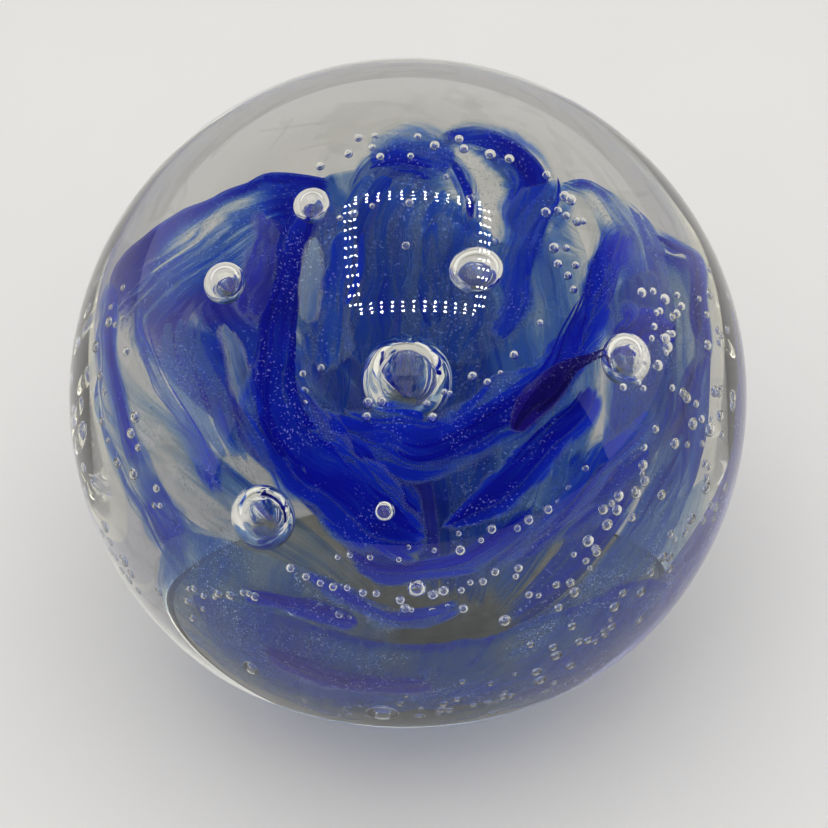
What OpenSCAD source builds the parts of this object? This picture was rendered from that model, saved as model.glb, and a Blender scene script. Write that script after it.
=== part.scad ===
// Glass ball paperweight: a clear ball with a ground foot, and inside it a clear inner
// gather that carries blue, violet and white glass drawn into petals and curled folds.
// Millimetres, +Z up, origin at the middle of the foot.
// Places inside the ball are [azimuth, distance from the axis, height above the ball's
// middle], for a ball of 80 mm, and they scale with the ball.

/* [Ball] */
// Diameter of the ball
ball_d = 80; // [60:1:100]
// Diameter of the ground foot, as a share of the ball's
foot_share = 0.59; // [0.5:0.01:0.64]
// Latitude below the middle where the wall turns straight, towards the foot
tuck_lat = 25; // [15:1:35]

/* [Inner gather] */
// Diameter of the clear inner gather, in an 80 mm ball
gather_d = 56; // [55:0.5:60]

/* [Petals] */
// Thickness of a petal
petal_t = 1.0; // [0.6:0.1:1.2]
// How far the petals' roots turn round the axis
petal_twist = 31; // [0:1:45]
// Latitude below the middle where the petals end at their roots
root_lat = 77; // [60:1:80]
// Distance of the petals' roots from the ball's middle
root_r = 24; // [22:0.5:25]

/* [Folds] */
// Width of every fold, as a share of its drawn width
fold_width = 1; // [0.7:0.05:1.1]
// Thickness of the three broad lobes
lobe_t = 1.6; // [1:0.1:1.8]
// Thickness of the two heavy folds
thick_fold_t = 2.2; // [1.4:0.1:2.4]
// Thickness of the other folds
fold_t = 1.6; // [1:0.1:1.8]
// Thickness of the thin strands
strand_t = 1.1; // [0.8:0.1:1.3]

/* [Bubbles] */
// Diameter of the large bubble in the middle
eye_d = 7; // [4:0.5:7.5]
// Diameter of the small bubbles
seed_d = 0.9; // [0.5:0.1:1]

/* [Hidden] */

nominal_d = 80;
ball_r = ball_d / 2;
foot_r = foot_share * ball_r;
middle_z = sqrt(ball_r * ball_r - foot_r * foot_r);
tuck_z = middle_z - ball_r * sin(tuck_lat);
tuck_r = ball_r * cos(tuck_lat);
gather_r = gather_d / 2;

cobalt = [0.05, 0.06, 0.55];
royal = [0.12, 0.22, 0.70];
steel = [0.40, 0.55, 0.75, 0.8];
violet = [0.36, 0.32, 0.75];
purple = [0.22, 0.05, 0.45];
white = [0.85, 0.90, 0.95];
clear = [0.80, 0.82, 0.80, 0.25];

// Petal rims, from one side of the petal to the other.
left_outer_rim = [[147, 25, -1.5], [154, 24.5, -3], [162, 23.5, -4.5],
                  [171, 22, -7], [182, 20, -9.5], [195, 18, -14]];
left_rim = [[105, 17.5, 5.5], [113, 20, 4], [122, 21.5, 3], [130, 23.5, 1],
            [138, 24.5, -0.5], [144, 25, -2]];
back_rim = [[58, 20.5, 3], [65, 21.5, 3.5], [73, 21, 4.5], [81, 20.5, 5],
            [89, 20, 5], [97, 19, 4.5], [102, 17, 3.5]];
back_right_rim = [[41, 23.5, 0], [45, 23.5, 1], [49, 23, 2.5], [53, 22, 3.5], [56, 20, 4]];
right_rim = [[0, 21.5, -4], [15, 22.5, -4.5], [26, 23.5, -4], [33, 24, -2.5],
             [35, 24, -1], [38, 22.5, 1]];
right_outer_rim = [[-3, 20.5, -16.5], [8, 22.5, -13.5], [17, 24.5, -11],
                   [24, 25.5, -7.5], [32, 26, -6]];
front_rim = [[207, 20.5, -12], [225, 23, -8], [244, 24.5, -6], [260, 25, -6.5],
             [275, 24.5, -7], [288, 24.5, -7], [303, 24, -7.5], [319, 24, -8.5],
             [340, 21.5, -15]];

// Routes of the lobes and folds. The fourth number is the width there.
left_lobe_route = [[152, 19, 5, 6], [162, 19, 2, 6], [180, 17, 0, 7], [203, 17, -1, 7],
                   [213, 17, -5, 5]];
back_lobe_route = [[78, 15, 8, 8], [82, 11, 7, 12], [85, 9, 0, 12], [86, 7, -5, 9]];
right_lobe_route = [[30, 20.5, 2, 5], [22, 20, 0, 6], [10, 19, -3, 6], [-16, 19, -2, 7],
                    [-34, 18.5, -3, 5]];
violet_route = [[130, 15, 8, 3], [150, 12, 10, 4], [180, 12, 9.5, 4]];
tongue_route = [[120, 13, 13, 1], [145, 11, 14.5, 2.5], [177, 10, 15, 2.5], [207, 13, 14, 3],
                [221, 16, 12, 3], [237, 18.5, 10, 4], [252, 20, 8, 4.5], [265, 21.5, 5, 4],
                [274, 22, 3, 1.5]];
cup_route = [[225, 12.5, 8, 1], [243, 12.5, 8.5, 1.5], [261, 13, 8.5, 2.5], [274, 14, 8, 4],
             [288, 14, 8.5, 3], [305, 14, 9.5, 3.5], [327, 15, 10, 3], [352, 15, 9, 2.5],
             [381, 17, 5.5, 2], [395, 20, 4, 2], [398, 22, 3, 1]];
back_right_route = [[52, 19.5, 7, 1], [50, 18, 7, 2], [48, 15, 6.5, 2.5], [45, 13, 4.5, 2.5],
                    [39, 11, 2, 2], [37, 8.5, 0, 1]];
stroke_route = [[-17, 18.5, 10.5, 1], [-30, 17, 12, 2], [-43, 17, 12, 2.5],
                [-53, 17.5, 11.5, 2], [-58, 18, 10.5, 1]];
front_route = [[-29, 19.5, 11, 1], [-37, 20, 10, 2], [-48, 20, 9.5, 2.5], [-58, 20.5, 8.5, 2.5],
               [-68, 21, 7, 2.5], [-76, 21, 5.5, 1.5], [-84, 21.5, 4.5, 0.8]];
lower_route = [[-17, 23.5, 5.5, 1], [-29, 23.5, 6, 3], [-41, 23, 6.5, 4], [-50, 23.5, 5.5, 4],
               [-58, 23.5, 3.5, 2.5], [-67, 24, 2, 1.2], [-76, 24.5, -0.5, 1]];
inner_veil_route = [[-58, 21.5, 4, 1], [-66, 22, 3, 1], [-78, 23, 1.5, 1], [-89, 23, 1, 1],
                    [-99, 23, 1, 1], [-107, 22.5, 3, 0.8]];
outer_veil_route = [[-80, 25.5, -2, 1], [-88, 25.5, -3, 1.2], [-97, 25.5, -3, 1.2],
                    [-105, 25.5, -1, 1], [-116, 25.5, 1.5, 0.8]];
cap_route = [[98, 16, 10, 1], [91, 16, 10.5, 2.5], [83, 16, 10.5, 3.5], [74, 16, 9.5, 2]];
crest_route = [[-10, 19, 10, 1], [-3, 19.5, 8.5, 2], [4, 21, 5.5, 2], [10, 22, 2.5, 0.8]];
streak_route = [[118, 9, 12, 1.5], [146, 6.5, 11.5, 2.5], [189, 6.5, 10.5, 2.5],
                [220, 8.5, 9, 1]];
strip_route = [[185, 16, 12, 0.8], [196, 16, 12, 1.2], [207, 16.5, 10.5, 1.5],
               [216, 17, 9, 0.8]];
ribbon_route = [[160, 8, 18.5, 0.8], [187, 8, 18, 1.2], [207, 9.5, 17.5, 1.2],
                [216, 11, 17, 0.8]];
lower_streak_route = [[231, 25.5, -4, 0.8], [241, 26, -3, 1.5], [250, 26, -3, 1.5],
                      [258, 26, -4, 0.8]];
lower_violet_route = [[234, 24, -11, 1.2], [243, 24, -12, 2.2], [253, 23.5, -13, 2.2],
                      [265, 23, -13.5, 1.5], [274, 22.5, -14, 0.8]];
left_inner_route = [[155, 22.5, 3.5, 0.8], [170, 22.5, 5.5, 0.8], [181, 22, 6, 1],
                    [196, 22, 7, 1.2], [211, 22, 6, 1.5], [222, 23, 3, 1]];

// Bubbles in the inner gather, the large ones first: place and diameter.
gather_bubbles = [[0, 0, 2, eye_d], [229, 20.5, 1.5, 5.2], [342, 20.5, 9, 4.2],
                  [145, 9.5, 19.5, 2.8], [176, 15.8, 14.5, 3.2], [10, 6.5, 13.5, 4.4],
                  [263, 22.5, 8, 2], [256, 10, 19, seed_d], [300, 22, 13, seed_d],
                  [318, 18, 17, seed_d], [30, 13, 13, seed_d], [60, 12, 13, seed_d]];
// Bubbles in the outer glass.
casing_bubbles = [[263, 30, -15, 2.5], [237, 31, -11, 1.6], [293, 30.5, -12.5, 1.4],
                  [284, 30, -17, seed_d], [334, 30, 1.5, seed_d], [355, 30.5, 6, seed_d],
                  [189, 29, 10.5, seed_d], [202, 30, 3, seed_d], [222, 31, -4, seed_d],
                  [249, 31.5, -3, seed_d], [270, 32, 2, seed_d], [310, 31, -4, seed_d],
                  [322, 32, -9, seed_d], [90, 26, 14, seed_d], [60, 30, 8, seed_d],
                  [120, 29, 5, seed_d], [150, 30, -2, seed_d], [20, 31, -6, seed_d]];

steps = 12;
sides = 8;
petal_cols = 8;
petal_rows = 6;
petal_focus = [0, -30, 37];
droop = 0.12;

function blend(a, b, t) = a + (b - a) * t;
function spline(p, t) =
    let (n = len(p) - 1, x = min(max(t, 0), 1) * n, i = min(floor(x), n - 1), f = x - i,
         a = p[max(i - 1, 0)], b = p[i], c = p[i + 1], d = p[min(i + 2, n)])
    0.5 * (2 * b + (c - a) * f + (2 * a - 5 * b + 4 * c - d) * f * f
           + (3 * b - a - 3 * c + d) * f * f * f);
function place(v) = [v[1] * cos(v[0]), v[1] * sin(v[0]), v[2]];
function unit(v) = v / norm(v);
// Width share near a fold's ends, which come to a blunt tip.
function tip(t) = max(0.12, sqrt(1 - pow(abs(2 * t - 1), 6)));

// Moves from the ball's middle to the part's frame, and scales with the ball.
module inside() {
    translate([0, 0, middle_z]) scale(ball_d / nominal_d) children();
}

// A band of glass, thick in the middle and thin at its edges, swept along a route.
module fold(route, thick) {
    rings = [for (i = [0:steps])
        let (u = i / steps, c = spline(route, u), p = place(c),
             along = unit(place(spline(route, u + 0.02)) - place(spline(route, u - 0.02))),
             across = unit(cross(along, unit(petal_focus - p))),
             up = cross(across, along),
             half = c[3] / 2 * fold_width * tip(u), rise = thick / 2 * tip(u))
        [for (k = [0:sides - 1])
            let (q = 360 * k / sides)
            p + across * half * cos(q) + up * (rise * sin(q) - droop * half * pow(cos(q), 2))]];
    points = [for (ring = rings) each ring];
    walls = [for (i = [0:steps - 1], k = [0:sides - 1])
        let (a = i * sides + k, b = i * sides + (k + 1) % sides)
        each [[a, b, b + sides], [a, b + sides, a + sides]]];
    caps = [for (k = [1:sides - 2])
        let (last = steps * sides)
        each [[0, k + 1, k], [last, last + k, last + k + 1]]];
    polyhedron(points, concat(walls, caps));
}

// A point on a petal: u runs along its rim, v from its root to its rim.
function petal_point(rim, root, u, v) =
    let (c = spline(rim, u), lat = atan2(c[2], c[1]), far = norm([c[1], c[2]]),
         e = blend(-root_lat, lat, v), r = blend(root, far, v),
         a = c[0] - petal_twist * pow(1 - v, 1.5))
    r * [cos(a) * cos(e), sin(a) * cos(e), sin(e)];

// A curved petal from its root, low in the ball, up to its rim.
module petal(rim, root = root_r) {
    d = 0.01;
    sheet = [for (i = [0:petal_cols], j = [0:petal_rows])
        let (u = i / petal_cols, v = j / petal_rows,
             along = petal_point(rim, root, min(u + d, 1), v)
                   - petal_point(rim, root, max(u - d, 0), v),
             up = petal_point(rim, root, u, min(v + d, 1))
                - petal_point(rim, root, u, max(v - d, 0)))
        [petal_point(rim, root, u, v), unit(cross(along, up)) * petal_t / 2]];
    n = (petal_cols + 1) * (petal_rows + 1);
    rows = petal_rows + 1;
    points = concat([for (s = sheet) s[0] + s[1]], [for (s = sheet) s[0] - s[1]]);
    faces = [for (i = [0:petal_cols - 1], j = [0:petal_rows - 1])
        let (a = i * rows + j, b = a + rows)
        each [[a, b + 1, b], [a, a + 1, b + 1],
              [n + a, n + b, n + b + 1], [n + a, n + b + 1, n + a + 1]]];
    ends = [for (j = [0:petal_rows - 1], i = [0, petal_cols])
        let (a = i * rows + j, s = i == 0)
        each s ? [[a, n + a, n + a + 1], [a, n + a + 1, a + 1]]
               : [[a, n + a + 1, n + a], [a, a + 1, n + a + 1]]];
    edges = [for (i = [0:petal_cols - 1], j = [0, petal_rows])
        let (a = i * rows + j, b = a + rows, s = j == 0)
        each s ? [[a, b, n + b], [a, n + b, n + a]]
               : [[a, n + b, b], [a, n + a, n + b]]];
    polyhedron(points, concat(faces, ends, edges));
}

module bubble(b) {
    translate(place(b)) sphere(d = b[3], $fn = b[3] > 2 ? 20 : 14);
}

// All the coloured glass together, which the inner gather closes round.
module coloured_glass() {
    petal(left_outer_rim);
    petal(left_rim);
    petal(back_rim);
    petal(back_right_rim);
    petal(right_rim);
    petal(right_outer_rim, root_r + 2);
    petal(front_rim);
    fold(left_lobe_route, lobe_t);
    fold(back_lobe_route, lobe_t);
    fold(right_lobe_route, lobe_t);
    fold(violet_route, fold_t);
    fold(tongue_route, thick_fold_t);
    fold(cup_route, thick_fold_t);
    fold(back_right_route, fold_t);
    fold(stroke_route, fold_t);
    fold(front_route, fold_t);
    fold(lower_route, fold_t);
    fold(inner_veil_route, strand_t);
    fold(outer_veil_route, strand_t);
    fold(cap_route, fold_t);
    fold(crest_route, fold_t);
    fold(streak_route, fold_t);
    fold(strip_route, strand_t);
    fold(ribbon_route, strand_t);
    fold(lower_streak_route, strand_t);
    fold(lower_violet_route, strand_t);
    fold(left_inner_route, strand_t);
}

// The clear outer glass, cut flat underneath, round the room for the inner gather.
module outer_casing() {
    color(clear) difference() {
        union() {
            intersection() {
                translate([0, 0, middle_z]) sphere(ball_r, $fn = 96);
                translate([0, 0, tuck_z]) cylinder(2 * ball_r, r = ball_r + 1, $fn = 96);
            }
            cylinder(tuck_z, foot_r, tuck_r, $fn = 96);
        }
        inside() {
            sphere(gather_r, $fn = 48);
            for (b = casing_bubbles) bubble(b);
        }
    }
}

// The clear inner glass, with room for the coloured glass and the bubbles.
module inner_gather() {
    color(clear) inside() difference() {
        sphere(gather_r, $fn = 48);
        coloured_glass();
        for (b = gather_bubbles) bubble(b);
    }
}

module left_outer_petal() { color(steel) inside() petal(left_outer_rim); }
module left_petal() { color(royal) inside() petal(left_rim); }
module back_petal() { color(steel) inside() petal(back_rim); }
module back_right_petal() { color(royal) inside() petal(back_right_rim); }
module right_petal() { color(steel) inside() petal(right_rim); }
module right_outer_petal() { color(violet) inside() petal(right_outer_rim, root_r + 2); }
module front_bowl() { color(steel) inside() petal(front_rim); }
module left_lobe() { color(royal) inside() fold(left_lobe_route, lobe_t); }
module back_lobe() { color(steel) inside() fold(back_lobe_route, lobe_t); }
module right_lobe() { color(steel) inside() fold(right_lobe_route, lobe_t); }
module violet_fold() { color(violet) inside() fold(violet_route, fold_t); }
module dark_tongue() { color(cobalt) inside() fold(tongue_route, thick_fold_t); }
module inner_cup_fold() { color(cobalt) inside() fold(cup_route, thick_fold_t); }
module back_right_fold() { color(cobalt) inside() fold(back_right_route, fold_t); }
module purple_stroke() { color(purple) inside() fold(stroke_route, fold_t); }
module right_front_fold() { color(cobalt) inside() fold(front_route, fold_t); }
module lower_right_fold() { color(royal) inside() fold(lower_route, fold_t); }
module inner_veil() { color(royal) inside() fold(inner_veil_route, strand_t); }
module outer_veil() { color(royal) inside() fold(outer_veil_route, strand_t); }
module cobalt_cap() { color(cobalt) inside() fold(cap_route, fold_t); }
module right_crest() { color(cobalt) inside() fold(crest_route, fold_t); }
module steel_streak() { color(steel) inside() fold(streak_route, fold_t); }
module white_strip() { color(white) inside() fold(strip_route, strand_t); }
module white_ribbon() { color(white) inside() fold(ribbon_route, strand_t); }
module lower_streak() { color(cobalt) inside() fold(lower_streak_route, strand_t); }
module lower_violet_fold() { color(violet) inside() fold(lower_violet_route, strand_t); }
module left_inner_fold() { color(cobalt) inside() fold(left_inner_route, strand_t); }

outer_casing();
inner_gather();
left_outer_petal();
left_petal();
back_petal();
back_right_petal();
right_petal();
right_outer_petal();
front_bowl();
left_lobe();
back_lobe();
right_lobe();
violet_fold();
dark_tongue();
inner_cup_fold();
back_right_fold();
purple_stroke();
right_front_fold();
lower_right_fold();
inner_veil();
outer_veil();
cobalt_cap();
right_crest();
steel_streak();
white_strip();
white_ribbon();
lower_streak();
lower_violet_fold();
left_inner_fold();
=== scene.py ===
"""Looks of the glass ball paperweight: clear casing with bubbles, folded coloured glass inside."""

import math
import random

import bpy
from mathutils import Matrix, Quaternion, Vector, noise


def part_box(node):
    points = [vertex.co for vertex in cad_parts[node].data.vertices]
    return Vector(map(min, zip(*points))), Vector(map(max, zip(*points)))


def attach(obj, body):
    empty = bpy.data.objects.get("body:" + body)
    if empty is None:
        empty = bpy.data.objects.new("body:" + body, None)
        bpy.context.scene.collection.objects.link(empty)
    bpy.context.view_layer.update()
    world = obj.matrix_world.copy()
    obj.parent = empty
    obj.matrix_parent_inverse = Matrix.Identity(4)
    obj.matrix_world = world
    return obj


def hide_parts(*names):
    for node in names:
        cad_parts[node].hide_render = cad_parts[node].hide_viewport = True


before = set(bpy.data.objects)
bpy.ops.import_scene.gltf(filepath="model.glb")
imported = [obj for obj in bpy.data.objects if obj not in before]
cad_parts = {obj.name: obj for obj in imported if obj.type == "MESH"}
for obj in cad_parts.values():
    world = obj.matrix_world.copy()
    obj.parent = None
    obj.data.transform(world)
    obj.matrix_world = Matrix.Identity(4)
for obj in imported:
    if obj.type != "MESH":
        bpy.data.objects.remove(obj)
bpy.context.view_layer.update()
rng = random.Random(742)

# ---------------------------------------------------------------- driving dimensions
casing_low, casing_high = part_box("outer_casing")
BALL_R = (casing_high.x - casing_low.x) / 2
MIDDLE = casing_high.z - BALL_R              # height of the ball's middle above the floor
FOOT_R = math.sqrt(BALL_R ** 2 - MIDDLE ** 2)
MM = BALL_R / 40                             # routes are written for a ball of 80 mm
gather_low, gather_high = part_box("inner_gather")
CENTRE = Vector((0, 0, MIDDLE))

# From here on, places inside the ball are in ball millimetres from its middle.
GATHER_R = round((gather_high.x - gather_low.x) / 2 / MM, 1)
TUCK = math.radians(25)                      # latitude where the wall turns straight
FOCUS = Vector((0, -30, 37))                 # the folds turn their faces to this point
ROOT_LAT = 77.0                              # latitude below the middle where petals end
PETAL_TWIST = 31.0                           # degrees that a petal's root lags its rim


# ---------------------------------------------------------------- small helpers
def spline(points, t):
    """Catmull-Rom through the points, t from 0 to 1."""
    last = len(points) - 1
    x = min(max(t, 0.0), 1.0) * last
    i = min(int(x), last - 1)
    f = x - i
    quad = (points[max(i - 1, 0)], points[i], points[i + 1], points[min(i + 2, last)])
    return [0.5 * (2 * b + (c - a) * f + (2 * a - 5 * b + 4 * c - d) * f * f
                   + (3 * b - a - 3 * c + d) * f ** 3) for a, b, c, d in zip(*quad)]


def place(azimuth, radius, height):
    """A point from its azimuth in degrees, distance from the axis and height."""
    a = math.radians(azimuth)
    return Vector((radius * math.cos(a), radius * math.sin(a), height))


def smooth(x, low, high):
    """A soft step from 0 at low to 1 at high."""
    x = min(max((x - low) / (high - low), 0.0), 1.0)
    return x * x * (3 - 2 * x)


class Shape:
    """Collects vertices and faces in ball millimetres, with the flow and paint of each vertex.

    Flow is how far the vertex lies along its streak and across it, and a seed. Paint is how
    much the colour shows, how much denser it is, and how far its streaks turn crosswise.
    """

    def __init__(self):
        self.verts, self.faces, self.flow, self.paint = [], [], [], []

    def vert(self, point, flow=(0, 0, 0), paint=(1, 0, 0)):
        self.verts.append(CENTRE + point * MM)
        self.flow.append(flow)
        self.paint.append(paint)
        return len(self.verts) - 1

    def skin(self, rings, closed=True):
        """Quads between rings of vertex numbers."""
        for low, high in zip(rings, rings[1:]):
            n = len(low)
            for k in range(n if closed else n - 1):
                m = (k + 1) % n
                self.faces.append((low[k], low[m], high[m], high[k]))

    def object(self, name, materials):
        mesh = bpy.data.meshes.new(name)
        mesh.from_pydata(self.verts, [], self.faces)
        for key, values in (("flow", self.flow), ("paint", self.paint)):
            layer = mesh.attributes.new(key, "FLOAT_VECTOR", "POINT")
            layer.data.foreach_set("vector", [c for v in values for c in v])
        for polygon in mesh.polygons:
            polygon.use_smooth = True
        for material in materials:
            mesh.materials.append(material)
        mesh.update()
        thing = bpy.data.objects.new(name, mesh)
        bpy.context.scene.collection.objects.link(thing)
        return thing


# ---------------------------------------------------------------- node materials
class Nodes:
    """Builds one node material with short calls."""

    def __init__(self, name):
        self.material = bpy.data.materials.new(name)
        self.material.use_nodes = True
        self.tree = self.material.node_tree
        self.tree.nodes.clear()
        self.out = self.add("OutputMaterial")

    def add(self, kind, values=None, **settings):
        node = self.tree.nodes.new("ShaderNode" + kind)
        for key, value in settings.items():
            setattr(node, key, value)
        for key, value in (values or {}).items():
            if isinstance(value, bpy.types.NodeSocket):
                self.tree.links.new(value, node.inputs[key])
            else:
                node.inputs[key].default_value = value
        return node

    def math(self, operation, a, b, clamp=False):
        return self.add("Math", {0: a, 1: b}, operation=operation, use_clamp=clamp).outputs[0]

    def mix(self, factor, a, b):
        node = self.add("Mix", {0: factor, 6: a, 7: b}, data_type="RGBA")
        return node.outputs[2]

    def ramp(self, value, stops):
        """Straight blends between colours, each stop a place from 0 to 1 and its colour."""
        node = self.add("ValToRGB", {0: value})
        ramp = node.color_ramp
        while len(ramp.elements) < len(stops):
            ramp.elements.new(0.5)
        for element, (at, colour) in zip(ramp.elements, stops):
            element.position = at
            element.color = (*colour, 1)
        return node.outputs[0]

    def grey(self, value, low, high):
        """A soft step from 0 at low to 1 at high."""
        node = self.add("MapRange", {0: value, 1: low, 2: high, 3: 0.0, 4: 1.0},
                        interpolation_type="SMOOTHSTEP")
        return node.outputs[0]

    def scaled(self, vector, x, y, z, shift=0.0):
        node = self.add("Mapping", {"Vector": vector, "Scale": (x, y, z),
                                    "Location": (shift, shift, shift)})
        return node.outputs[0]

    def noise(self, vector, detail=3.0, rough=0.5, twist=0.0):
        node = self.add("TexNoise", {"Vector": vector, "Scale": 1.0, "Detail": detail,
                                     "Roughness": rough, "Distortion": twist})
        return node.outputs[0]

    def finish(self, shader, volume=None):
        self.tree.links.new(shader, self.out.inputs["Surface"])
        if volume is not None:
            self.tree.links.new(volume, self.out.inputs["Volume"])
        return self.material


# Colours of each glass where it is thin, middling and dense: first as light passes through
# one face of it, then as the cloud in it sends light back.
PALETTES = {
    "cobalt": (((0.66, 0.80, 0.98), (0.15, 0.31, 0.92), (0.05, 0.08, 0.66)),
               ((0.14, 0.29, 0.84), (0.010, 0.065, 0.88), (0.001, 0.008, 0.60))),
    "royal": (((0.70, 0.84, 0.98), (0.20, 0.41, 0.94), (0.07, 0.13, 0.76)),
              ((0.19, 0.36, 0.82), (0.030, 0.13, 0.86), (0.003, 0.024, 0.74))),
    "steel": (((0.80, 0.89, 0.96), (0.38, 0.60, 0.93), (0.11, 0.24, 0.82)),
              ((0.30, 0.44, 0.70), (0.08, 0.23, 0.74), (0.015, 0.075, 0.74))),
    "violet": (((0.80, 0.84, 0.96), (0.40, 0.44, 0.92), (0.18, 0.14, 0.74)),
               ((0.34, 0.41, 0.78), (0.13, 0.15, 0.74), (0.035, 0.025, 0.55))),
    "purple": (((0.62, 0.60, 0.92), (0.22, 0.15, 0.76), (0.10, 0.03, 0.48)),
               ((0.20, 0.18, 0.62), (0.05, 0.02, 0.50), (0.014, 0.003, 0.28))),
    "white": (((0.95, 0.96, 0.97), (0.80, 0.88, 0.95), (0.50, 0.64, 0.90)),
              ((0.66, 0.72, 0.75), (0.50, 0.62, 0.76), (0.15, 0.28, 0.66))),
}
CLEAR_TINT = (0.97, 0.975, 0.98)
CLEAR_CLOUD = (0.50, 0.54, 0.58)
DUST_COLOUR = (0.70, 0.77, 0.92, 1)
STREAKS = (0.05, 0.30)                       # waves per mm along a streak and across it


def streaked(name, palette, cover, scatter=0.6, speckle=0.5, haze=0.0, accent=None,
             windows=0.0):
    """Coloured glass drawn out in streaks: tinted and see-through, cloudy where it is dense.

    cover is where in the noise the colour begins and is full, scatter is how cloudy the dense
    glass is, speckle its dust, haze the colour it keeps everywhere, and windows how far its
    clear openings reach. accent is a second palette, mixed in by patches.
    """
    n = Nodes(name)
    flow = n.add("Attribute", attribute_name="flow").outputs["Vector"]
    paint = n.add("SeparateXYZ", {0: n.add("Attribute", attribute_name="paint").outputs["Vector"]})
    fade, boost, crosswise = paint.outputs
    solid = n.add("TexCoord").outputs["Object"]
    # The glass was stirred: the streaks bend before they are drawn out.
    bend = n.add("TexNoise", {"Vector": n.scaled(flow, 0.11, 0.16, 1.0), "Scale": 1.0,
                              "Detail": 2.0}).outputs[1]
    swirl = n.add("VectorMath", {0: bend, 1: (9.0, 5.0, 0.0)}, operation="MULTIPLY").outputs[0]
    bent = n.add("VectorMath", {0: flow, 1: swirl}, operation="ADD").outputs[0]
    turned = n.add("VectorRotate", {"Vector": bent, "Axis": (0, 0, 1), "Angle": 1.45}).outputs[0]
    bent = n.add("Mix", {0: crosswise, 4: bent, 5: turned}, data_type="VECTOR").outputs[1]
    along, across = STREAKS
    # Streaks of three widths, and slow patches that pay no heed to them.
    broad = n.noise(n.scaled(bent, along, across, 1.0), 3.0, 0.55, 0.9)
    fine = n.noise(n.scaled(bent, along * 2.4, across * 4.2, 1.0, 7.3), 4.0, 0.62, 0.7)
    hair = n.noise(n.scaled(bent, along * 4.5, across * 14, 1.0, 3.1), 3.0, 0.6, 0.4)
    drift = n.noise(n.scaled(solid, 110.0, 110.0, 110.0), 3.0, 0.55, 0.8)
    main = n.math("ADD", n.math("MULTIPLY", broad, 0.38), n.math("MULTIPLY", fine, 0.28))
    detail = n.math("ADD", n.math("MULTIPLY", hair, 0.13), n.math("MULTIPLY", drift, 0.21))
    streaks = n.grey(n.math("ADD", main, detail), *cover)
    filled = n.math("ADD", n.math("MULTIPLY", streaks, 1.0 - haze), haze)
    dense = n.math("ADD", filled, boost, clamp=True)
    if windows:
        opening = n.grey(n.noise(n.scaled(bent, 0.07, 0.22, 1.0, 12.0), 2.0, 0.5, 1.0),
                         0.66 - 0.16 * windows, 0.72 - 0.12 * windows)
        dense = n.math("MULTIPLY", dense, n.math("SUBTRACT", 1.0, opening))
    ragged = n.math("ADD", fade, n.math("MULTIPLY", n.math("SUBTRACT", fine, 0.5), 1.3))
    inside = n.math("MULTIPLY", n.grey(ragged, 0.10, 0.70), n.grey(fade, 0.0, 0.30))
    body = n.math("MULTIPLY", dense, inside, clamp=True)

    def colours(which, end):
        """The palette's row for light passing (0) or sent back (1), end where it is clear."""
        stops = [PALETTES[p][which] for p in (palette, accent or palette)]
        made = [n.ramp(body, ((0.0, end), (0.28, light), (0.60, mid), (1.0, dark)))
                for light, mid, dark in stops]
        if accent is None:
            return made[0]
        return n.mix(n.grey(drift, 0.48, 0.58), made[0], made[1])

    tint = colours(0, CLEAR_TINT)
    cloud_colour = colours(1, CLEAR_CLOUD)
    grain = n.noise(n.scaled(solid, 4200.0, 4200.0, 4200.0), 1.0, 0.5)
    patches = n.grey(n.noise(n.scaled(solid, 150.0, 150.0, 150.0, 2.0), 3.0), 0.46, 0.62)
    dust = n.math("MULTIPLY", n.math("MULTIPLY", n.grey(grain, 0.62, 0.70), patches), speckle)
    cloud_colour = n.mix(dust, cloud_colour, DUST_COLOUR)
    through = n.add("BsdfTransparent", {"Color": tint}).outputs[0]
    back = n.add("BsdfTranslucent", {"Color": cloud_colour}).outputs[0]
    front = n.add("BsdfDiffuse", {"Color": cloud_colour}).outputs[0]
    cloud = n.add("MixShader", {0: 0.5, 1: back, 2: front}).outputs[0]
    amount = n.math("ADD", n.math("MULTIPLY", n.math("POWER", body, 0.7), scatter),
                    n.math("MULTIPLY", dust, inside), clamp=True)
    return n.finish(n.add("MixShader", {0: amount, 1: through, 2: cloud}).outputs[0])


def clear_glass():
    """Polished clear glass that takes a little light away over its depth."""
    n = Nodes("clear_glass")
    solid = n.add("TexCoord").outputs["Object"]
    faint = n.noise(n.scaled(solid, 40.0, 40.0, 40.0), 2.0)
    colour = n.mix(faint, (1, 1, 1, 1), (0.985, 0.985, 0.98, 1))
    glass = n.add("BsdfPrincipled", {"Base Color": colour, "Roughness": 0.0,
                                     "IOR": 1.5, "Transmission Weight": 1.0})
    volume = n.add("VolumeAbsorption", {"Color": (0.86, 0.83, 0.62, 1), "Density": 7.0})
    return n.finish(glass.outputs[0], volume.outputs[0])


def foot_painted_shade():
    """The foot is ground flat and matt, and shows through the ball as a dark disc. This dark disc
    is painted shade for the shadowed floor under the ball seen through the glass. It is painted
    lighter towards its rim so that its edge blends with the brighter view beside it.
    """
    n = Nodes("foot_painted_shade")
    solid = n.add("TexCoord").outputs["Object"]
    grain = n.noise(n.scaled(solid, 900.0, 900.0, 900.0), 2.0)
    cloudy = n.noise(n.scaled(solid, 80.0, 80.0, 80.0), 3.0)
    both = n.math("ADD", n.math("MULTIPLY", grain, 0.4), n.math("MULTIPLY", cloudy, 0.6))
    mottle = n.grey(both, 0.35, 0.65)
    # Dark in the middle and lighter at the rim: this is painted shade, not the glass's own colour.
    # The mottle in both is random tone.
    inner = n.mix(mottle, (0.078, 0.088, 0.084, 1), (0.13, 0.142, 0.138, 1))
    outer = n.mix(mottle, (0.30, 0.30, 0.28, 1), (0.40, 0.40, 0.38, 1))
    flat = n.add("VectorMath", {0: n.scaled(solid, 1.0, 1.0, 0.0)}, operation="LENGTH")
    shade = n.mix(n.grey(flat.outputs["Value"], FOOT_R * 0.55, FOOT_R * 0.98), inner, outer)
    return n.finish(n.add("BsdfDiffuse", {"Color": shade}).outputs[0])


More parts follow.
